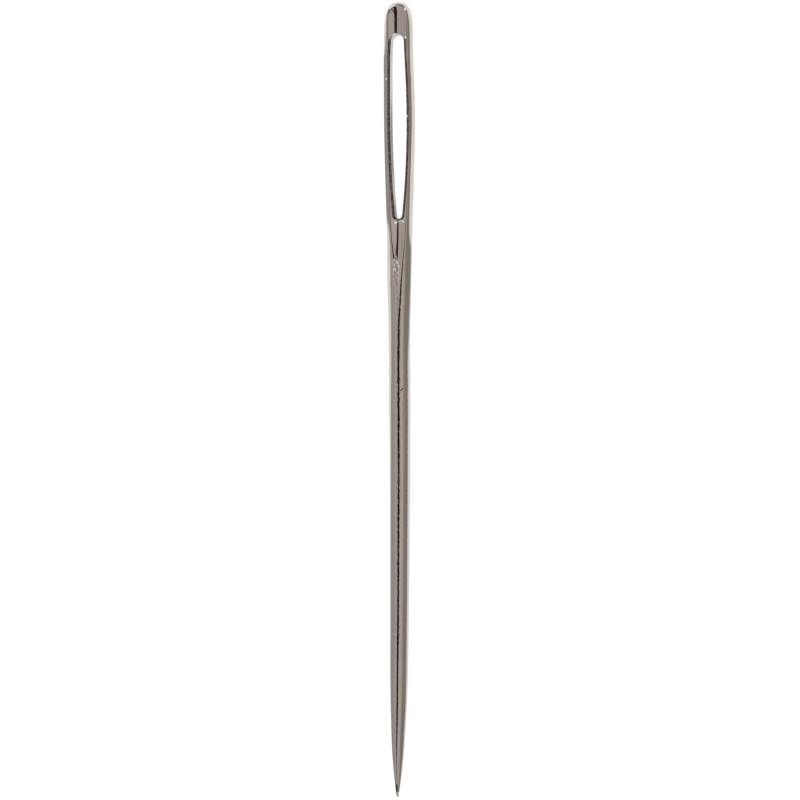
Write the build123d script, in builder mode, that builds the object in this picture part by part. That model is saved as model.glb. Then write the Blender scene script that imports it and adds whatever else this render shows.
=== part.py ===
from build123d import *
from math import cos, radians, sin, sqrt
import os

# Yarn needle: one length of steel wire, drawn out to a long blunt point and stamped at its other end
# into a head with a gutter on each face, through which a long eye is punched. Millimetres.
# The needle lies along Y with its point towards -Y and the eye's wide way across X. The origin is on
# the surface it lies on, under the middle of its length.

# Whole needle
length = 70.0
shank_diameter = 1.92

# Point: distances are measured back from the tip
tip_radius = 0.10
tip_half_angle = 9
nose_length = 4.8
nose_diameter = 1.18
point_length = 12.0
point_diameter = 1.60
taper_share = 0.827586  # of the wire between point and head

# Head: depths are measured down from the crown, and the shares are of the head's length
head_length = 29.0
neck_depth_share = 0.94
neck_width = 1.99
swell_depth_share = 0.85
swell_width = 2.12
swell_thickness = 1.91
foot_depth_share = 0.68
foot_width = 2.30
foot_groove_width = 1.46
cheek_depth_share = 0.525
cheek_width = 2.57
waist_depth_share = 0.36
head_width = 2.76
brow_depth_share = 0.18
brow_width = 2.65
shoulder_depth_share = 0.076
shoulder_width = 2.56
crown_height = 1.45
crown_width = 2.42
crown_angle = 8
face_thickness = 1.88

# Gutter pressed into each face of the head. It runs level and then climbs out, at shares of the
# head's length below the crown.
gutter_width = 1.78
gutter_depth = 0.22
gutter_lip = 0.25
gutter_level_share = 0.45
gutter_end_share = 0.90

# Eye punched through the gutters, widest at a share of its length below its top
eye_top_depth = 2.9
eye_length = 16.25
eye_width = 1.46
eye_widest_share = 0.455
eye_top_width = 1.14
eye_foot_width = 0.64
rim_radius = 0.12

# The needle lies on its thickest part, and its axis runs at half that height.
axis_height = max(shank_diameter, face_thickness) / 2
tip_y = -length / 2
crown_y = length / 2
head_foot_y = crown_y - head_length
point_end_y = tip_y + point_length
taper_end_y = point_end_y + (head_foot_y - point_end_y) * taper_share
eye_top_y = crown_y - eye_top_depth
eye_foot_y = eye_top_y - eye_length


def across(y):
    """Upright plane square across the needle, centred on its axis."""
    return Plane(origin=(0, y, axis_height), x_dir=(1, 0, 0), z_dir=(0, 1, 0))


def pressed_oval(width, groove_width):
    """Width and thickness of the oval that is as thick as the head's faces where its groove ends."""
    return width, face_thickness / sqrt(1 - (groove_width / width) ** 2)


# The head is closed by a half ball, drawn out to an oval. The head's sides leave it a little above its
# widest place, where they have the same slope.
crown_oval = pressed_oval(crown_width, gutter_width)
crown_start = sin(radians(crown_angle))
crown_share = cos(radians(crown_angle))

# Ovals that the head is drawn through, each with its depth below the crown, width and thickness
head_ovals = [
    (head_length, shank_diameter, shank_diameter),
    (head_length * neck_depth_share, neck_width, shank_diameter),
    (head_length * swell_depth_share, swell_width, swell_thickness),
    (head_length * foot_depth_share, *pressed_oval(foot_width, foot_groove_width)),
    (head_length * cheek_depth_share, *pressed_oval(cheek_width, gutter_width)),
    (head_length * waist_depth_share, *pressed_oval(head_width, gutter_width)),
    (head_length * brow_depth_share, *pressed_oval(brow_width, gutter_width)),
    (head_length * shoulder_depth_share, *pressed_oval(shoulder_width, gutter_width)),
    (crown_height * (1 - crown_start), crown_oval[0] * crown_share, crown_oval[1] * crown_share),
]

with BuildPart() as crown_ball:
    Sphere(1, rotation=(-90, 0, 0), arc_size1=crown_angle, align=(Align.CENTER, Align.CENTER, Align.NONE))
    scale(by=(crown_oval[0] / 2, crown_height, crown_oval[1] / 2))

# Round-nosed groove that presses the upper gutter. It runs level along the eye, with its ball end
# just inside the crown, and below the eye it climbs out of the wire on a long arc.
groove_radius = ((gutter_width / 2) ** 2 + gutter_depth**2) / (2 * gutter_depth)
groove_height = axis_height + face_thickness / 2 - gutter_depth + groove_radius
groove_top_y = crown_y - gutter_lip - gutter_width / 2
groove_level_y = crown_y - head_length * gutter_level_share
groove_end_y = crown_y - head_length * gutter_end_share

with BuildPart() as groove:
    with BuildLine(Plane.YZ):
        level = Line((groove_top_y, groove_height), (groove_level_y, groove_height))
        climb_end = (groove_end_y, axis_height + shank_diameter / 2 + groove_radius)
        TangentArc(level @ 1, climb_end, tangent=level % 1)
    with BuildSketch(Plane(origin=level @ 0, z_dir=level % 0)):
        Circle(groove_radius)
    sweep()
    with Locations(level @ 0):
        Sphere(groove_radius)

with BuildPart() as needle:
    # Point and shank, turned about the needle's axis
    with BuildSketch(Plane.XY.offset(axis_height)):
        with BuildLine():
            shank_line = Line((shank_diameter / 2, head_foot_y), (shank_diameter / 2, taper_end_y))
            taper = Line(shank_line @ 1, (point_diameter / 2, point_end_y))
            nose = (nose_diameter / 2, tip_y + nose_length)
            flank = TangentArc(taper @ 1, nose, tangent=taper % 1)
            tip = CenterArc((0, tip_y + tip_radius), tip_radius, -90, 90 - tip_half_angle)
            TangentArc(flank @ 1, tip @ 1, tangent=flank % 1)
            Polyline(tip @ 0, (0, head_foot_y), shank_line @ 0)
        make_face()
    revolve(axis=Axis((0, 0, axis_height), (0, 1, 0)))

    # Head, drawn through its ovals and closed by the crown
    for depth, width, thickness in head_ovals:
        with BuildSketch(across(crown_y - depth)):
            Ellipse(width / 2, thickness / 2)
    loft()
    with Locations((0, crown_y - crown_height, axis_height)):
        add(crown_ball.part)

    # The same gutter in both faces
    add(groove.part, mode=Mode.SUBTRACT)
    add(groove.part.mirror(Plane.XY.offset(axis_height)), mode=Mode.SUBTRACT)

    # Eye: wide and round at its top, widest near its middle, narrow at its foot
    with BuildSketch():
        with BuildLine():
            widest = (eye_width / 2, eye_top_y - eye_length * eye_widest_share)
            upper_side = TangentArc(
                widest, (eye_top_width / 2, eye_top_y - eye_top_width / 2), tangent=(0, 1)
            )
            TangentArc(upper_side @ 1, (0, eye_top_y), tangent=upper_side % 1)
            lower_side = TangentArc(
                widest, (eye_foot_width / 2, eye_foot_y + eye_foot_width / 2), tangent=(0, -1)
            )
            TangentArc(lower_side @ 1, (0, eye_foot_y), tangent=lower_side % 1)
            mirror(about=Plane.YZ)
        make_face()
    extrude(amount=2 * axis_height, mode=Mode.SUBTRACT)

    # The punched rims are eased all round, so that they don't cut the yarn.
    fillet(needle.edges(Select.LAST).filter_by(GeomType.BSPLINE), rim_radius)

# The steel is one piece. It is written as four stretches that meet face to face at the two ends of
# the eye: the shank with its point, the two sides of the eye, and the crown.
shank_end = across(eye_foot_y + eye_foot_width / 2)
crown_end = across(eye_top_y - eye_top_width / 2)

with BuildPart() as shank:
    add(needle.part)
    split(bisect_by=shank_end, keep=Keep.BOTTOM)

with BuildPart() as eye_sides:
    add(needle.part)
    split(bisect_by=shank_end, keep=Keep.TOP)
    split(bisect_by=crown_end, keep=Keep.BOTTOM)

with BuildPart() as crown:
    add(needle.part)
    split(bisect_by=crown_end, keep=Keep.TOP)

left_side, right_side = eye_sides.solids().sort_by(Axis.X)
stretches = {
    "shank": shank.part,
    "eye_side_left": left_side,
    "eye_side_right": right_side,
    "crown": crown.part,
}

os.makedirs("parts", exist_ok=True)
for name, stretch in stretches.items():
    stretch.label = name
    export_step(stretch, f"parts/{name}.step")
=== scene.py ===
import math

import bpy
from mathutils import Matrix, Vector


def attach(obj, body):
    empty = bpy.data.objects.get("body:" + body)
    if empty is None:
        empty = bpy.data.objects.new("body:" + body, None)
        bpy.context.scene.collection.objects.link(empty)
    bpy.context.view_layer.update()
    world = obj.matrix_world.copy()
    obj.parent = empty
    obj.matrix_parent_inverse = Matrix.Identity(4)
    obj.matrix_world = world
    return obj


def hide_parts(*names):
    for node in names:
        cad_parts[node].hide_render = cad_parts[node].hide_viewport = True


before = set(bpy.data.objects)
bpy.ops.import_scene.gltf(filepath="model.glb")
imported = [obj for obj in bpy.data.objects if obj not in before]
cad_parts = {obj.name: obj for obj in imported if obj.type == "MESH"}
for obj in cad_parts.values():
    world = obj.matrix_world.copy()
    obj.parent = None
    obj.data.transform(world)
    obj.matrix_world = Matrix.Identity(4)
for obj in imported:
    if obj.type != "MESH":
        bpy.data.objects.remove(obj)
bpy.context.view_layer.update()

# Yarn needle: one length of plated steel wire, drawn out to a long blunt point and stamped at its
# other end into a head with a gutter on each face and a long eye. It is grown as one skin, in
# millimetres, which is then made metres. X runs across the needle, Y along it, and the tip is
# towards -Y. A distance s is measured from the tip.
PER_METRE = 1000.0

# Sizes of the needle
SIZES = {
    # The same values as the solids have
    "Length": 70.0,
    "Shank diameter": 1.92,
    "Point length": 12.0,
    "Point diameter": 1.60,
    "Taper length": 24.0,
    "Nose length": 4.8,
    "Nose diameter": 1.18,
    "Tip radius": 0.10,
    "Head length": 29.0,
    "Head width": 2.76,
    "Face thickness": 1.88,
    "Crown height": 1.45,
    "Gutter width": 1.78,
    "Gutter depth": 0.22,
    "Gutter lip": 0.25,
    "Eye top depth": 2.9,
    "Eye length": 16.25,
    "Eye width": 1.46,
    "Eye top width": 1.14,
    "Eye foot width": 0.64,
    "Rim radius": 0.12,
    # Softer forms that only the skin has
    "Gutter crease": 0.15,
    "Crest rounding": 0.12,
}

# Places along the head, as shares of its length below the crown. Each has half the width and half
# the thickness of the pressed oval there, as shares of half the head's width, and after each of
# them how much it grows there for a millimetre along the needle.
HEAD_SHARES = [
    (1.000, 0.6957, 0.012, 0.6957, 0.0),  # end of the round shank
    (0.940, 0.7210, 0.0235, 0.6957, 0.0),  # neck
    (0.850, 0.7681, 0.021, 0.6920, 0.020),  # swell
    (0.680, 0.8333, 0.0225, 0.8815, 0.035),  # foot
    (0.525, 0.9312, 0.027, 0.9444, 0.0),  # cheek
    (0.360, 1.0000, 0.004, 0.8913, 0.0),  # waist
    (0.180, 0.9601, -0.0125, 0.9195, 0.010),  # brow
    (0.076, 0.9275, -0.035, 0.9478, 0.030),  # shoulder
    (0.043, 0.8683, -0.117, 0.9957, 0.0),  # start of the crown
]
GUTTER_LEVEL_SHARE = 0.45
GUTTER_END_SHARE = 0.90
EYE_WIDEST_SHARE = 0.455

# Half angle of the point where its round tip starts, and the angle at which the crown's ball starts
TIP_ANGLE = math.radians(9)
CROWN_ANGLE = math.radians(8)

# Share of the gutter's depth that is pressed as a soft crease, where the rest is round, and how
# much of the round groove is followed, which never comes to stand upright
CREASED = 5 / 6
GROOVE_FOLLOWED = 0.98

# Near its foot the eye is narrower at half the needle's height: by this share of its width, which
# comes to nothing over a run above the foot
WALL_DRAWN_IN = 0.25
WALL_DRAWN_IN_RUN = 4.0

# The wire isn't quite straight: distances from the tip, and how far it lies to the right there
BENDS = [
    (0.0, -0.18), (4.0, -0.14), (8.0, -0.075), (12.0, -0.03), (16.0, 0.0), (28.0, 0.03),
    (36.0, 0.0), (44.0, -0.045), (50.0, -0.01), (57.0, 0.0), (62.0, -0.035), (66.7, -0.11),
    (70.0, -0.05),
]
BEND_SPAN = 0.5

# The stamped faces lean a little: distances from the tip, and the slope of the upper face there,
# which starts within a short rise above the needle's axis
LEANS = [
    (32.0, 0.0), (38.0, 0.03), (42.0, 0.10), (45.0, 0.13), (48.0, 0.09), (50.5, 0.03),
    (64.0, 0.02), (66.5, 0.09), (68.0, 0.12), (70.0, 0.12),
]
LEAN_SPAN = 0.5
LEAN_RISE = 0.4

# Rows and columns of points in a quarter of the skin
SHANK_ROWS = 180
EYE_ROWS = 120
CROWN_ROWS = 44
FACE_COLUMNS = 40
WALL_COLUMNS = 7

# Runs below and above the eye over which the columns go from its spacing to that of the shank
BELOW_EYE_RUN = 4.0
ABOVE_EYE_RUN = 2.0

# Too little to see: a hair's breadth, the distance at which points are welded, and a share of the
# crown's height that lets its last row close on one point
HAIR = 0.0001
WELD = 0.00002
CLOSING = 0.00001


class Term:
    """A value in a node tree. Sums, products and comparisons of terms add their Math nodes."""

    def __init__(self, tree, socket):
        self.tree = tree
        self.socket = socket

    def output(self, name):
        """Another output of the same node."""
        return Term(self.tree, self.socket.node.outputs[name])

    def math(self, operation, *others):
        return calculated(self.tree, operation, self, *others)

    def __add__(self, other):
        return self.math("ADD", other)

    __radd__ = __add__

    def __sub__(self, other):
        return self.math("SUBTRACT", other)

    def __rsub__(self, other):
        return calculated(self.tree, "SUBTRACT", other, self)

    def __mul__(self, other):
        return self.math("MULTIPLY", other)

    __rmul__ = __mul__

    def __truediv__(self, other):
        return self.math("DIVIDE", other)

    def __rtruediv__(self, other):
        return calculated(self.tree, "DIVIDE", other, self)

    def __neg__(self):
        return self.math("MULTIPLY", -1.0)

    def __lt__(self, other):
        return self.math("LESS_THAN", other)

    def __gt__(self, other):
        return self.math("GREATER_THAN", other)


def wire(tree, value, socket):
    """Puts a number on a socket, or links a term or each term of a list to it."""
    if isinstance(value, Term):
        tree.links.new(value.socket, socket)
    elif isinstance(value, list):
        for term in value:
            wire(tree, term, socket)
    else:
        socket.default_value = value


def shape_curve(mapping, spots):
    """Bends a curve through its spots."""
    points = mapping.curves[0].points
    while len(points) < len(spots):
        points.new(0.5, 0.5)
    for point, spot in zip(points, spots):
        point.location = spot
    mapping.update()


def set_stops(ramp, stops):
    """Gives a colour ramp its stops, each with its position and colour."""
    while len(ramp.elements) < len(stops):
        ramp.elements.new(0.5)
    for element, (position, colour) in zip(ramp.elements, stops):
        element.position = position
        element.color = (*colour, 1.0)


def place(tree, kind, settings=None, values=None, output=0):
    """A node of one kind, with its settings first and then the values or links of its sockets.
    It gives one of the node's outputs, where it has any."""
    node = tree.nodes.new(kind)
    for name, value in (settings or {}).items():
        if name == "curve":
            shape_curve(node.mapping, value)
        elif name == "stops":
            set_stops(node.color_ramp, value)
        else:
            setattr(node, name, value)
    for name, value in (values or {}).items():
        wire(tree, value, node.inputs[name])
    return Term(tree, node.outputs[output]) if node.outputs else None


def calculated(tree, operation, *values):
    """One Math node on terms and numbers."""
    return place(
        tree,
        "ShaderNodeMath",
        settings={"operation": operation},
        values=dict(enumerate(values)),
    )


def lowest(term, other):
    return term.math("MINIMUM", other)


def highest(term, other):
    return term.math("MAXIMUM", other)


def within(term, low, high):
    return lowest(highest(term, low), high)


def rising(term, start, run):
    """0 up to a start, and from there up to 1 over a run."""
    return within((term - start) / run, 0.0, 1.0)


def falling(term, end, run):
    """1 until a run before an end, and from there down to 0 at the end."""
    return within((end - term) / run, 0.0, 1.0)


def root(term):
    return highest(term, 0.0).math("SQRT")


def squared(value):
    return value * value


def split(tree, vector):
    """The X, Y and Z of a vector."""
    parts = place(tree, "ShaderNodeSeparateXYZ", values={"Vector": vector})
    return [parts.output(axis) for axis in "XYZ"]


def along_curve(tree, places, s, span):
    """What a smooth curve through given places gives at a distance from the tip. Its values may
    reach half the span to both sides of 0."""
    end = places[-1][0]
    spots = [(distance / end, 0.5 + value / span) for distance, value in places]
    value = place(
        tree, "ShaderNodeFloatCurve", settings={"curve": spots}, values={"Value": s / end}
    )
    return (value - 0.5) * span


# Shape of the needle


def share_along(share):
    """A share from 0 to 1 that moves slowly near both of its ends."""
    return (1.0 - (share * math.pi).math("COSINE")) / 2


def wire_half(size, s):
    """Half width of the round wire at a distance from its tip: the round tip, nose and flank on
    long curves, a straight taper, and the shank."""
    half = size["Shank diameter"] / 2
    tip = size["Tip radius"]
    seat = tip * (1 - math.sin(TIP_ANGLE))
    seat_half = tip * math.cos(TIP_ANGLE)
    ball = root(squared(tip) - squared(tip - lowest(s, seat)))
    taper_slope = (half - size["Point diameter"] / 2) / size["Taper length"]
    taper = within(size["Point length"] + size["Taper length"] - s, 0.0, size["Taper length"])
    flank_run = size["Point length"] - size["Nose length"]
    flank_drop = (size["Point diameter"] - size["Nose diameter"]) / 2
    flank = within(size["Point length"] - s, 0.0, flank_run)
    flank_bend = (flank_drop - taper_slope * flank_run) / squared(flank_run)
    nose_run = size["Nose length"] - seat
    nose = within(size["Nose length"] - s, 0.0, nose_run)
    nose_slope = 2 * flank_drop / flank_run - taper_slope
    nose_bend = (size["Nose diameter"] / 2 - seat_half - nose_run * nose_slope) / squared(nose_run)
    return (
        half
        - taper_slope * (taper + flank)
        - squared(flank) * flank_bend
        - nose * nose_slope
        - squared(nose) * nose_bend
        + ball
        - seat_half
    )


def swelling(size, run, t, lower, upper):
    """What a stretch of the head adds, given its share and slope at its lower and upper ends."""
    rise = size["Head width"] / 2 * (upper[0] - lower[0])
    first = run * lower[1]
    last = run * upper[1]
    return (((first + last - 2 * rise) * t + 3 * rise - 2 * first - last) * t + first) * t


def crown_share(size, s):
    """What the crown leaves of the head: a half ball, drawn out to its width and thickness."""
    crown = size["Crown height"]
    up_crown = highest(s - (size["Length"] - crown), 0.0) / crown
    cap = root(1.0 - CLOSING - squared(up_crown))
    return lowest(cap / math.cos(CROWN_ANGLE), 1.0)


def outline(size, s):
    """Half width and half thickness of the wire at a distance from its tip, before the gutters."""
    point = wire_half(size, s)
    wide = thick = 0.0
    for lower, upper in zip(HEAD_SHARES, HEAD_SHARES[1:]):
        start = size["Length"] - size["Head length"] * lower[0]
        run = size["Head length"] * (lower[0] - upper[0])
        t = within((s - start) / run, 0.0, 1.0)
        wide = wide + swelling(size, run, t, lower[1:3], upper[1:3])
        thick = thick + swelling(size, run, t, lower[3:5], upper[3:5])
    cap = crown_share(size, s)
    return (point + wide) * cap, (point + thick) * cap


def eye_outline(size, s):
    """Foot and top of the eye, and the centre and radius of the circle that touches its edges at a
    distance from the tip."""
    top = size["Length"] - size["Eye top depth"]
    foot = top - size["Eye length"]
    widest = top - size["Eye length"] * EYE_WIDEST_SHARE
    half = size["Eye width"] / 2
    top_half = size["Eye top width"] / 2
    foot_half = size["Eye foot width"] / 2
    top_run = top - top_half - widest
    foot_run = widest - foot - foot_half
    top_slope = 2 * (half - top_half) / top_run
    foot_slope = 2 * (half - foot_half) / foot_run
    top_radius = top_half * root(1.0 + squared(top_slope))
    foot_radius = foot_half * root(1.0 + squared(foot_slope))
    top_centre = top - top_half - top_slope * top_half
    foot_centre = foot + foot_half + foot_slope * foot_half

    # The sides bulge out to the widest place, and arcs close them at the top and the foot
    up = highest(s - widest, 0.0) / top_run
    down = highest(widest - s, 0.0) / foot_run
    side = half - squared(up) * (half - top_half) - squared(down) * (half - foot_half)
    over = s > top - top_half
    under = s < foot + foot_half
    radius = side + over * (top_radius - side) + under * (foot_radius - side)
    centre = s + over * (top_centre - s) + under * (foot_centre - s)
    return foot_centre - foot_radius, top_centre + top_radius, centre, radius


def face_height(size, x, s, half_width, half_thickness, from_eye):
    """Height of the upper face above the needle's axis, with its gutter and the eye's eased rim."""
    face = size["Face thickness"] / 2
    depth = size["Gutter depth"]
    gutter_half = size["Gutter width"] / 2
    groove = (squared(gutter_half) + squared(depth)) / (2 * depth)
    oval = half_thickness * root(1.0 - squared(lowest(x / highest(half_width, HAIR), 1.0)))

    # Gutter, partly round and partly creased: a ball end near the crown, level along the eye, and
    # a long climb out
    past = highest(s - (size["Length"] - size["Gutter lip"] - gutter_half), 0.0)
    spread = lowest(squared(x) + squared(past), squared(groove) * GROOVE_FOLLOWED)
    level_end = size["Length"] - size["Head length"] * GUTTER_LEVEL_SHARE
    climb_run = size["Head length"] * (GUTTER_END_SHARE - GUTTER_LEVEL_SHARE)
    climb = squared(highest(level_end - s, 0.0) / climb_run)
    round_rise = groove - root(squared(groove) - spread)
    soft = size["Gutter crease"]
    crease_rise = (root(spread + squared(soft)) - soft) * depth
    crease_rise = crease_rise / (root(squared(gutter_half) + squared(soft)) - soft)
    floor = face - depth + round_rise * (1 - CREASED) + crease_rise * CREASED
    floor = floor + climb * (size["Shank diameter"] / 2 - face + depth)

    # Crests between gutter and sides are rounded over
    rounding = size["Crest rounding"]
    apart = oval - floor
    near = highest(rounding - apart.math("ABSOLUTE"), 0.0) / rounding
    crest = lowest(oval, floor) - squared(near) * rounding / 4

    # Eased rim of the punched eye
    rim = size["Rim radius"]
    inside = rim - within(from_eye, 0.0, rim)
    return highest(crest - rim + root(squared(rim) - squared(inside)), 0.0)


def position_of(tree):
    """X, Y and Z of each point."""
    return split(tree, place(tree, "GeometryNodeInputPosition"))


def moved(tree, mesh, x, y, z):
    """The mesh with its points at new places."""
    spot = place(tree, "ShaderNodeCombineXYZ", values={"X": x, "Y": y, "Z": z})
    return place(tree, "GeometryNodeSetPosition", values={"Geometry": mesh, "Position": spot})


def strip(tree, start, end, rows, columns, wall=False):
    """A strip of points from one distance from the tip to another. X holds their share of the way
    out to the side, Y their distance from the tip, and Z their share of the height."""
    grid = place(
        tree,
        "GeometryNodeMeshGrid",
        values={"Size X": 1.0, "Size Y": 1.0, "Vertices X": columns, "Vertices Y": rows},
    )
    x, y, _ = position_of(tree)
    s = start + (end - start) * share_along(y + 0.5)
    if wall:
        return moved(tree, grid, 0.0, s, x + 0.5)
    return moved(tree, grid, x + 0.5, s, 1.0)


def joined(tree, *meshes):
    return place(tree, "GeometryNodeJoinGeometry", values={"Geometry": list(meshes)})


def mirrored(tree, mesh, scale):
    """The mesh with its mirror image, whose faces are turned outwards again."""
    image = place(
        tree, "GeometryNodeTransform", values={"Geometry": mesh, "Scale": scale}
    )
    image = place(tree, "GeometryNodeFlipFaces", values={"Mesh": image})
    return joined(tree, mesh, image)


def quarter_skin(tree, size):
    """A quarter of the skin: below the eye, beside it, above it, and the wall inside it."""
    share, s, level = position_of(tree)
    eye_foot, eye_top, centre, radius = eye_outline(size, s)
    beside_eye = (s > eye_foot + HAIR) * (s < eye_top - HAIR)
    inner = root(squared(radius) - squared(s - centre)) * beside_eye
    half_width, half_thickness = outline(size, s)

    # Columns are spread as on a round wire, and beside the eye they gather at its rim and its side
    past_eye = highest(eye_foot - s, 0.0) / BELOW_EYE_RUN
    past_eye = past_eye + highest(s - eye_top, 0.0) / ABOVE_EYE_RUN
    outwards = (share * (math.pi / 2)).math("SINE")
    outwards = outwards + (share_along(share) - outwards) * (1.0 - lowest(past_eye, 1.0))
    near_foot = within((eye_foot + WALL_DRAWN_IN_RUN - s) / WALL_DRAWN_IN_RUN, 0.0, 1.0)
    x = inner * (1.0 - WALL_DRAWN_IN * near_foot * (1.0 - level))
    x = x + (half_width - inner) * outwards

    from_eye = root(squared(x) + squared(s - centre)) - radius
    height = face_height(size, x, s, half_width, half_thickness, from_eye) * level
    strips = joined(
        tree,
        strip(tree, 0.0, eye_foot, SHANK_ROWS, FACE_COLUMNS),
        strip(tree, eye_foot, eye_top, EYE_ROWS, FACE_COLUMNS),
        strip(tree, eye_top, size["Length"], CROWN_ROWS, FACE_COLUMNS),
        strip(tree, eye_foot, eye_top, EYE_ROWS, WALL_COLUMNS, wall=True),
    )

    # The finish reads how far a point is from the rim: outwards on the faces, and down the wall
    # as a negative share
    marked = place(
        tree,
        "GeometryNodeStoreNamedAttribute",
        settings={"data_type": "FLOAT", "domain": "POINT"},
        values={"Geometry": strips, "Name": "from_rim", "Value": from_eye - (1.0 - level)},
    )
    return moved(tree, marked, x, s - size["Length"] / 2, height)


def needle_tree(material):
    """The whole needle as one skin, grown from its sizes."""
    tree = bpy.data.node_groups.new("Drawn and stamped wire", "GeometryNodeTree")
    tree.interface.new_socket("Mesh", in_out="OUTPUT", socket_type="NodeSocketGeometry")
    identifiers = {}
    for name, value in SIZES.items():
        socket = tree.interface.new_socket(name, in_out="INPUT", socket_type="NodeSocketFloat")
        socket.default_value = value
        identifiers[name] = socket.identifier
    entry = place(tree, "NodeGroupInput")
    size = {name: entry.output(name) for name in SIZES}

    half = mirrored(tree, quarter_skin(tree, size), (-1.0, 1.0, 1.0))
    whole = mirrored(tree, half, (1.0, 1.0, -1.0))
    welded = place(
        tree, "GeometryNodeMergeByDistance", values={"Geometry": whole, "Distance": WELD}
    )

    # Bow of the wire and lean of its stamped upper face
    x, y, z = position_of(tree)
    s = y + size["Length"] / 2
    lean = along_curve(tree, LEANS, s, LEAN_SPAN) * within(z / LEAN_RISE, 0.0, 1.0)
    bowed = moved(tree, welded, x + along_curve(tree, BENDS, s, BEND_SPAN), y, z + x * lean)

    lift = place(
        tree, "ShaderNodeCombineXYZ", values={"Z": size["Shank diameter"] / (2 * PER_METRE)}
    )
    rested = place(
        tree,
        "GeometryNodeTransform",
        values={"Geometry": bowed, "Translation": lift, "Scale": (1 / PER_METRE,) * 3},
    )
    smooth = place(tree, "GeometryNodeSetShadeSmooth", values={"Geometry": rested})
    real = place(tree, "GeometryNodeRealizeInstances", values={"Geometry": smooth})
    finished = place(
        tree, "GeometryNodeSetMaterial", values={"Geometry": real, "Material": material}
    )
    place(tree, "NodeGroupOutput", values={"Mesh": finished})
    return tree, identifiers


def make_needle(material):
    """The needle as a plain mesh, grown by its tree on a blank."""
    tree, identifiers = needle_tree(material)
    blank = bpy.data.objects.new("wire blank", bpy.data.meshes.new("wire blank"))
    bpy.context.scene.collection.objects.link(blank)
    modifier = blank.modifiers.new("Drawn and stamped wire", "NODES")
    modifier.node_group = tree
    for name, value in SIZES.items():
        modifier[identifiers[name]] = value
    graph = bpy.context.evaluated_depsgraph_get()
    mesh = bpy.data.meshes.new_from_object(blank.evaluated_get(graph))
    blank.modifiers.remove(modifier)
    bpy.data.objects.remove(blank)
    mesh.name = "yarn_needle"
    needle = bpy.data.objects.new("yarn_needle", mesh)
    bpy.context.scene.collection.objects.link(needle)
    return needle


# Finish of the steel, with places in millimetres across and along the needle from its middle

DULL_STEEL = (0.62, 0.54, 0.475, 1.0)
BRIGHT_STEEL = (0.77, 0.665, 0.575, 1.0)
COOL_STEEL = (0.66, 0.575, 0.555, 1.0)
PUNCHED_WALL = (0.84, 0.79, 0.74, 1.0)
SHADED_WALL = (0.36, 0.32, 0.32, 1.0)
# Painted shade on the rims of the eye
PAINTED_RIM_SHADE = (0.034, 0.016, 0.007, 1.0)
# Pits and dark marks, and the painted dark reflection on the gutter's lip
DARK_MARKS_AND_SHADE = (0.02, 0.015, 0.01, 1.0)
# Painted highlights
GLINTING = (1.0, 0.96, 0.90, 1.0)

# Clouds of the skin: how close they lie across and along the needle, and their detail
STREAKS = (7.0, 0.22, 5.0)
WAVES = (0.45, 0.16, 1.0)
RIPPLES = (1.6, 0.8, 2.0)
GRAIN = (7.0, 4.0, 2.0)

# Heights of the skin's unevenness in millimetres
WAVE_HEIGHT = 0.016
RIPPLE_HEIGHT = 0.0035
STREAK_HEIGHT = 0.0025
GRAIN_HEIGHT = 0.010
STAMPED_HEIGHT = 0.003
PIT_DEPTH = 0.010

# Roughness of the polished steel, and what is added to it elsewhere
POLISHED_ROUGHNESS = 0.09
STREAK_ROUGHNESS = 0.16
WALL_ROUGHNESS = 0.2
RIM_ROUGHNESS = 0.5
STAMPED_ROUGHNESS = 0.35

# Edges, each with its place and the run over which it fades: the upper face above the floor, the
# eye's wall inside its rim, and the shade on the wall below a place along the needle
UPPER_FACE = (0.9, 0.3)
WALL_EDGE = (0.0, 0.04)
WALL_SHADE = (20.0, 4.0)

# Edges of the painted shade on the eye's rims: outwards from the rim, and along the needle
RIM_SHADE_INSIDE = (-0.06, 0.04)
RIM_SHADE_OUTSIDE = (0.27, 0.06)
RIM_SHADE_FOOT = (15.72, 0.1)
RIM_SHADE_TOP = (31.9, 0.3)

# Edges along the needle: the steel is cooler below the first one, and the grain of the drawn wire
# is strong between the other two. The shares are what is left of both beyond them.
COOL_TOP = (-6.0, 8.0)
COOL_ABOVE = 0.15
DRAWN_FOOT = (-32.0, 12.0)
DRAWN_TOP = (13.0, 4.0)
GRAIN_AT_TIP = 0.3
GRAIN_ON_HEAD = 0.2

# Ring that the lip of the gutter follows, its painted highlight on the left and its painted dark
# reflection on the right
LIP_CENTRE = 33.56
LIP_RADIUS = 1.06
LIP_HALF_WIDTH = 0.05
LIP_FOOT = 33.9
GLINT_START = -0.78
GLINT_END = (-0.22, 0.05)
DARK_START = (0.0, 0.1)
DARK_END = 0.5

# Small marks and painted highlights, each with its middle, its reach across and along, and its
# strength
PITS = [((-0.80, 34.1), (0.07, 0.14), 1.0)]
SCRATCH = [((0.302, 0.88), (0.09, 0.17), 1.0)]
SCRATCH_SLANT = 0.9
TIP_MARK = [((-0.24, -34.22), (0.13, 0.54), 1.0)]
TIP_GLINT = [((-0.12, -34.62), (0.06, 0.08), 1.0)]
STAMP_END = [((-0.22, 11.4), (0.36, 1.3), 1.0), ((-0.72, 12.6), (0.12, 0.9), 1.0)]
STAMP_GLINTS_START = -0.6
EYE_FOOT_CORNERS = [((-0.30, 15.55), (0.34, 0.13), 1.0), ((0.32, 15.62), (0.30, 0.13), 1.0)]
# Painted highlights
GLINT_SPOTS = [
    ((-1.07, 28.15), (0.08, 0.09), 1.0),  # left side of the eye
    ((0.77, 24.85), (0.07, 0.09), 1.0),  # right rim of the eye
    ((-0.33, -20.6), (0.05, 0.06), 0.6),  # left of the point
    ((0.61, 34.22), (0.09, 0.12), 0.9),  # right end of the gutter's lip
    ((0.64, 31.73), (0.08, 0.10), 1.0),  # right of the eye's top
]


def blank_material(name):
    material = bpy.data.materials.new(name)
    material.use_nodes = True
    material.node_tree.nodes.clear()
    return material


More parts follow.
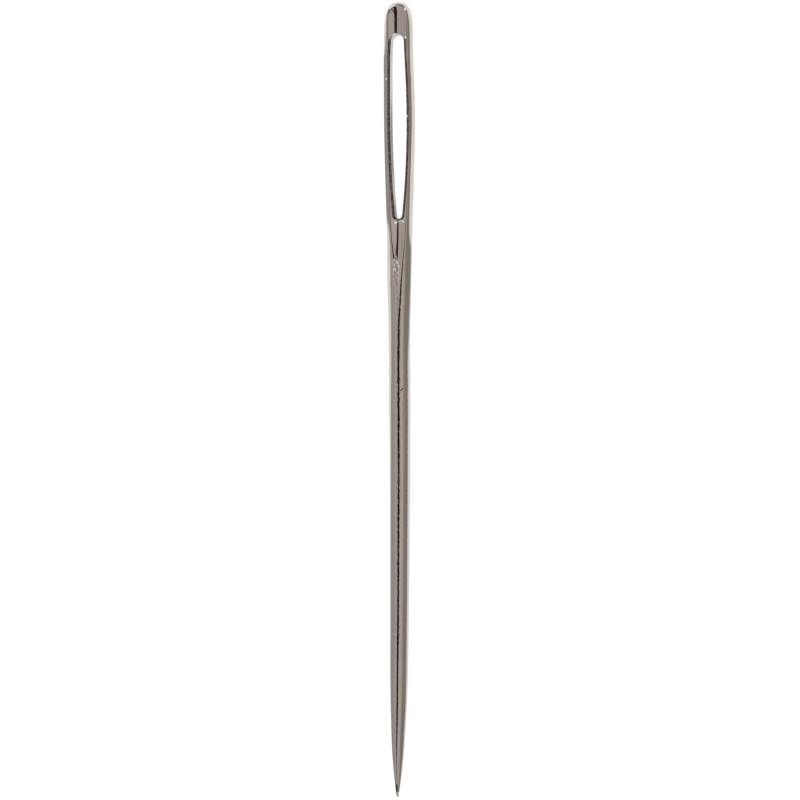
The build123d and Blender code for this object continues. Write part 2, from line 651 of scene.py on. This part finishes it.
def place_on_object(tree):
    """X, Y and Z on the object in millimetres."""
    spot = place(tree, "ShaderNodeTexCoord").output("Object")
    return [part * PER_METRE for part in split(tree, spot)]


def clouds(tree, spot, across, along, detail):
    """Cloudy noise around 0, from about -0.5 to 0.5."""
    x, y, z = spot
    stretched = place(
        tree,
        "ShaderNodeCombineXYZ",
        values={"X": x * across, "Y": y * along, "Z": z * across},
    )
    cloud = place(
        tree,
        "ShaderNodeTexNoise",
        values={"Vector": stretched, "Scale": 1.0, "Detail": detail},
    )
    return cloud - 0.5


def marks(x, y, places, slant=0.0):
    """The strength of small marks and painted highlights in their middle, falling to 0 at their
    reach.
    """
    total = 0.0
    for (middle_x, middle_y), (reach_x, reach_y), strength in places:
        across = (x - (y - middle_y) * slant - middle_x) / reach_x
        away = squared(across) + squared((y - middle_y) / reach_y)
        total = total + within((1.0 - away) * 2.0, 0.0, 1.0) * strength
    return total


def blend(tree, share, first, second):
    """From a first colour to a second. A Mix node keeps its colours on sockets 6 and 7."""
    return place(
        tree,
        "ShaderNodeMix",
        settings={"data_type": "RGBA"},
        values={0: share, 6: first, 7: second},
        output=2,
    )


def painted_rim_shade(y, from_rim, grain):
    """Painted shade on the rims of the eye, dark and a little patchy."""
    rim_shade = rising(from_rim, *RIM_SHADE_INSIDE) * falling(from_rim, *RIM_SHADE_OUTSIDE)
    rim_shade = rim_shade * rising(y, *RIM_SHADE_FOOT) * falling(y, *RIM_SHADE_TOP)
    return rim_shade * within(0.95 + grain * 0.8, 0.0, 1.0)


def lip_light_and_shade(x, y):
    """Painted highlight and painted dark reflection on the lip of the gutter."""
    from_lip = root(squared(x) + squared(y - LIP_CENTRE)) - LIP_RADIUS
    lip = within(1.4 - squared(from_lip / LIP_HALF_WIDTH), 0.0, 1.0) * (y > LIP_FOOT)
    glint = lip * falling(x, *GLINT_END) * (x > GLINT_START)
    dark = lip * rising(x, *DARK_START) * (x < DARK_END) * 0.7
    return glint, dark


def steel_colour(tree, x, y, streaks, waves, grain):
    """Streaky steel, cooler on the left of the point and the shank."""
    drawn = within(0.5 + streaks * 2.2 + grain * 0.8, 0.0, 1.0)
    cool = within(0.2 - x * 0.8 + waves, 0.0, 0.6) * highest(falling(y, *COOL_TOP), COOL_ABOVE)
    return blend(tree, cool, blend(tree, drawn, DULL_STEEL, BRIGHT_STEEL), COOL_STEEL)


def plated_steel():
    material = blank_material("plated_steel")
    tree = material.node_tree
    spot = place_on_object(tree)
    x, y, z = spot
    from_rim = place(
        tree,
        "ShaderNodeAttribute",
        settings={"attribute_name": "from_rim", "attribute_type": "GEOMETRY"},
        output=2,
    )

    # Polishing along the wire leaves fine streaks, and drawing it leaves it a little wavy
    streaks = clouds(tree, spot, *STREAKS)
    waves = clouds(tree, spot, *WAVES)
    ripples = clouds(tree, spot, *RIPPLES)
    grain = clouds(tree, spot, *GRAIN)

    # The wall of the eye is as the punch left it
    upper = rising(z, *UPPER_FACE)
    wall = falling(from_rim, *WALL_EDGE)
    wall_shade = wall * falling(y, *WALL_SHADE) * 0.8
    # Painted shade on the rims of the eye, a little patchy
    rim_shade = painted_rim_shade(y, from_rim, grain)

    # Rougher skin where the stamp let go of the wire, with glints in it and at the eye's foot
    stamped = marks(x, y, STAMP_END) * upper
    glints = rising(grain + streaks * 0.5, 0.035, 1 / 14) * stamped * (x > STAMP_GLINTS_START)
    glints = glints * 0.7 + rising(grain, 0.02, 1 / 9) * marks(x, y, EYE_FOOT_CORNERS)

    # Pits, a scratch and the dark mark at the tip, the painted dark reflection on the gutter's lip,
    # and painted highlights
    lip_glint, lip_dark = lip_light_and_shade(x, y)
    dark_marks_and_lip_shade = (marks(x, y, SCRATCH, SCRATCH_SLANT) + marks(x, y, PITS)) * upper
    dark_marks_and_lip_shade = dark_marks_and_lip_shade + marks(x, y, TIP_MARK) * within(1.0 + grain * 2.0, 0.0, 1.0)
    # The painted dark reflection on the gutter's lip joins the pits
    dark_marks_and_lip_shade = within(dark_marks_and_lip_shade + lip_dark, 0.0, 1.0)
    # Painted highlights: the spots, the glints in the stamped skin, at the eye's foot and on the
    # lip, and the one at the tip
    painted_highlights = (marks(x, y, GLINT_SPOTS) + glints * 0.8 + lip_glint) * upper
    painted_highlights = within(painted_highlights + marks(x, y, TIP_GLINT), 0.0, 1.0)

    steel = steel_colour(tree, x, y, streaks, waves, grain)
    # Over the steel go the wall's own colour and its shade, the painted shade on the rims, the pits
    # with the painted dark reflection on the gutter's lip, and the painted highlights
    for share, colour in (
        (wall, PUNCHED_WALL),
        (wall_shade, SHADED_WALL),
        (rim_shade, PAINTED_RIM_SHADE),
        (dark_marks_and_lip_shade, DARK_MARKS_AND_SHADE),
        (painted_highlights, GLINTING),
    ):
        steel = blend(tree, share, steel, colour)
    metal = within(1.0 - rim_shade - dark_marks_and_lip_shade * 0.9 - painted_highlights * 0.9 - wall * 0.6, 0.0, 1.0)
    roughness = (
        POLISHED_ROUGHNESS
        + within(streaks + grain * 0.5, -0.1, 0.4) * STREAK_ROUGHNESS
        + wall * WALL_ROUGHNESS
        + rim_shade * RIM_ROUGHNESS
        + within(stamped, 0.0, 1.0) * STAMPED_ROUGHNESS
    )
    drawn = highest(falling(y, *DRAWN_TOP), GRAIN_ON_HEAD)
    drawn = drawn * highest(rising(y, *DRAWN_FOOT), GRAIN_AT_TIP)
    height = (
        waves * WAVE_HEIGHT
        + ripples * RIPPLE_HEIGHT
        + streaks * STREAK_HEIGHT
        + drawn * grain * GRAIN_HEIGHT
        + stamped * grain * STAMPED_HEIGHT
        - dark_marks_and_lip_shade * PIT_DEPTH
    )
    bump = place(
        tree,
        "ShaderNodeBump",
        values={"Strength": 1.0, "Distance": 1 / PER_METRE, "Height": height},
    )
    shader = place(
        tree,
        "ShaderNodeBsdfPrincipled",
        values={"Metallic": metal, "Base Color": steel, "Roughness": roughness, "Normal": bump},
    )
    place(tree, "ShaderNodeOutputMaterial", values={"Surface": shader})
    return material


# Floor, light and camera

WHITE = (1.0, 1.0, 1.0, 1.0)

# How far the painted pool of light on the floor reaches to each side of the needle, in what the
# steel shows of it: distances from the tip and reaches, with the span of each curve and the width
# of its soft edge
WHITE_LEFT = [
    (0.0, 2.0), (22.0, 2.0), (29.0, 4.0), (35.0, 9.0), (41.0, 25.0), (48.5, 25.0), (51.0, 2.0),
    (65.0, 2.0), (66.5, 4.0), (70.0, 4.0),
]
WHITE_LEFT_SPAN = 60.0
WHITE_LEFT_EDGE = 0.6
WHITE_RIGHT = [
    (0.0, 3.5), (16.0, 4.5), (28.0, 6.0), (38.0, 5.0), (41.5, 1.8), (48.0, 1.8), (50.5, 7.0),
    (70.0, 7.0),
]
WHITE_RIGHT_SPAN = 20.0
WHITE_RIGHT_EDGE = 2.0

# Painted glow of that pool of light and of the dimmer floor beyond it, which stands for a darker
# room, and glow of the floor as the camera sees it
WHITE_GLOW = 0.80
ROOM_GLOW = 0.02
ROOM_GLOW_LEFT = 0.13
CAMERA_GLOW = 0.90
COOL_WHITE = (0.87, 0.94, 1.0, 1.0)
CLOTH_GREY = (0.25, 0.25, 0.25, 1.0)
FLOOR_REACH = 1.5

# What the steel shows of the room above it: degrees to the right of straight up, and colours
ROOM_SWING = 120.0
ROOM = [
    (-120, (0.38, 0.38, 0.39)),
    (-90, (0.39, 0.39, 0.40)),
    (-48, (0.43, 0.43, 0.44)),
    (-30, (0.50, 0.50, 0.50)),
    (-18.5, (0.50, 0.50, 0.50)),
    (-17.5, (0.008, 0.004, 0.002)),
    (4.5, (0.008, 0.004, 0.002)),
    (5.5, (0.50, 0.50, 0.50)),
    (22, (0.55, 0.55, 0.55)),
    (38, (0.49, 0.49, 0.49)),
    (54, (0.33, 0.33, 0.33)),
    (66, (0.27, 0.265, 0.26)),
    (100, (0.27, 0.265, 0.26)),
]
CEILING_GREY = (0.50, 0.50, 0.50, 1.0)
ROOM_GREY = (0.75, 0.75, 0.75, 1.0)

# Beyond the point of the needle, the dark strip overhead is narrower past its first edge, and there
# is a window low past the second one, with a dark bar across it
NARROWER_STRIP = (0.22, 0.06)
NARROWER_FROM = -3.0
NARROWER_TO = 7.0
WINDOW = (0.42, 0.10)
WINDOW_WHITE = (1.5, 1.6, 1.7, 1.0)
BAR_LEFT = (-0.80, 0.06)
BAR_RIGHT = (-0.02, 0.05)

# The camera looks down at a slight tilt from the right, and sees this many metres from side to side
CAMERA_TILT = math.radians(8.0)
CAMERA_VIEW = 0.0704
CAMERA_AIM = (0.00003, -0.00004, SIZES["Shank diameter"] / (2 * PER_METRE))


def floor_cloth():
    """Pale cloth with a painted glow: the steel shows it as a white pool of light near the needle
    and as a darker room beyond it.
    """
    material = blank_material("pale_floor")
    tree = material.node_tree
    rays = place(tree, "ShaderNodeLightPath")
    camera = rays.output("Is Camera Ray")
    reflected = highest(rays.output("Is Glossy Ray"), rays.output("Is Transmission Ray"))
    x, y, _ = place_on_object(tree)
    s = within(y + SIZES["Length"] / 2, 0.0, SIZES["Length"])
    # What the steel shows is a painted pool of light near the needle and a dimmer painted glow
    # beyond it, brighter on the left
    left_end = -along_curve(tree, WHITE_LEFT, s, WHITE_LEFT_SPAN) - WHITE_LEFT_EDGE / 2
    right_end = along_curve(tree, WHITE_RIGHT, s, WHITE_RIGHT_SPAN) + WHITE_RIGHT_EDGE / 2
    white = rising(x, left_end, WHITE_LEFT_EDGE) * falling(x, right_end, WHITE_RIGHT_EDGE)
    room = ROOM_GLOW + ROOM_GLOW_LEFT * (x < 0.0)
    shown = room + (WHITE_GLOW - room) * white
    glow = place(
        tree,
        "ShaderNodeEmission",
        values={
            "Color": blend(tree, reflected, WHITE, COOL_WHITE),
            "Strength": highest(camera * CAMERA_GLOW, reflected * shown),
        },
    )
    cloth = place(tree, "ShaderNodeBsdfDiffuse", values={"Color": CLOTH_GREY})
    both = place(tree, "ShaderNodeAddShader", values={0: glow, 1: cloth})
    place(tree, "ShaderNodeOutputMaterial", values={"Surface": both})
    return material


def make_floor():
    mesh = bpy.data.meshes.new("floor")
    corners = [(-1, -1), (1, -1), (1, 1), (-1, 1)]
    mesh.from_pydata(
        [(x_side * FLOOR_REACH, y_side * FLOOR_REACH, 0) for x_side, y_side in corners],
        [],
        [(0, 1, 2, 3)],
    )
    mesh.materials.append(floor_cloth())
    floor = bpy.data.objects.new("floor", mesh)
    bpy.context.scene.collection.objects.link(floor)
    return floor


def studio_world():
    """A room that only reflections show. The camera sees plain white."""
    world = bpy.data.worlds.new("studio")
    bpy.context.scene.world = world
    world.use_nodes = True
    tree = world.node_tree
    tree.nodes.clear()
    heading = place(tree, "ShaderNodeTexCoord").output("Generated")
    across, along, up = split(tree, heading)
    swing = across.math("ARCTAN2", up) * (180 / math.pi)
    stops = [((degrees + ROOM_SWING) / (2 * ROOM_SWING), colour) for degrees, colour in ROOM]
    room = place(
        tree,
        "ShaderNodeValToRGB",
        settings={"stops": stops},
        values={"Fac": (swing + ROOM_SWING) / (2 * ROOM_SWING)},
    )
    narrower = rising(-along, *NARROWER_STRIP) * (swing > NARROWER_FROM) * (swing < NARROWER_TO)
    room = blend(tree, narrower, room, CEILING_GREY)
    bar = rising(across, *BAR_LEFT) * falling(across, *BAR_RIGHT)
    room = blend(tree, rising(-along, *WINDOW) * (1.0 - bar), room, WINDOW_WHITE)
    rays = place(tree, "ShaderNodeLightPath")
    colour = blend(tree, rays.output("Is Glossy Ray"), ROOM_GREY, room)
    colour = blend(tree, rays.output("Is Camera Ray"), colour, WHITE)
    background = place(tree, "ShaderNodeBackground", values={"Color": colour})
    place(tree, "ShaderNodeOutputWorld", values={"Surface": background})


def soft_lamp(name, location, energy, width):
    """A square lamp that faces the needle and isn't seen in the steel."""
    data = bpy.data.lights.new(name, "AREA")
    data.energy = energy
    data.size = width
    lamp = bpy.data.objects.new(name, data)
    lamp.location = location
    lamp.rotation_mode = "QUATERNION"
    lamp.rotation_quaternion = (-Vector(location)).to_track_quat("-Z", "Y")
    lamp.visible_glossy = False
    bpy.context.scene.collection.objects.link(lamp)


def make_camera():
    data = bpy.data.cameras.new("camera")
    data.lens = 135.0
    data.sensor_width = 36.0
    data.clip_start = 0.01
    camera = bpy.data.objects.new("camera", data)
    bpy.context.scene.collection.objects.link(camera)
    bpy.context.scene.camera = camera
    upwards = Vector((0.0, 1.0, 0.0))
    back = Vector((math.sin(CAMERA_TILT), 0.0, math.cos(CAMERA_TILT)))
    side = upwards.cross(back)
    distance = CAMERA_VIEW / data.sensor_width * data.lens
    turned = Matrix((side, upwards, back)).transposed().to_4x4()
    camera.matrix_world = Matrix.Translation(Vector(CAMERA_AIM) + back * distance) @ turned


bpy.context.scene.view_settings.view_transform = "Standard"
steel = plated_steel()
needle = make_needle(steel)
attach(needle, "root")
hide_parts("shank", "eye_side_left", "eye_side_right", "crown")
floor = make_floor()
studio_world()
soft_lamp("overhead", location=(0.05, 0.0, 0.6), energy=1.2, width=0.3)
make_camera()
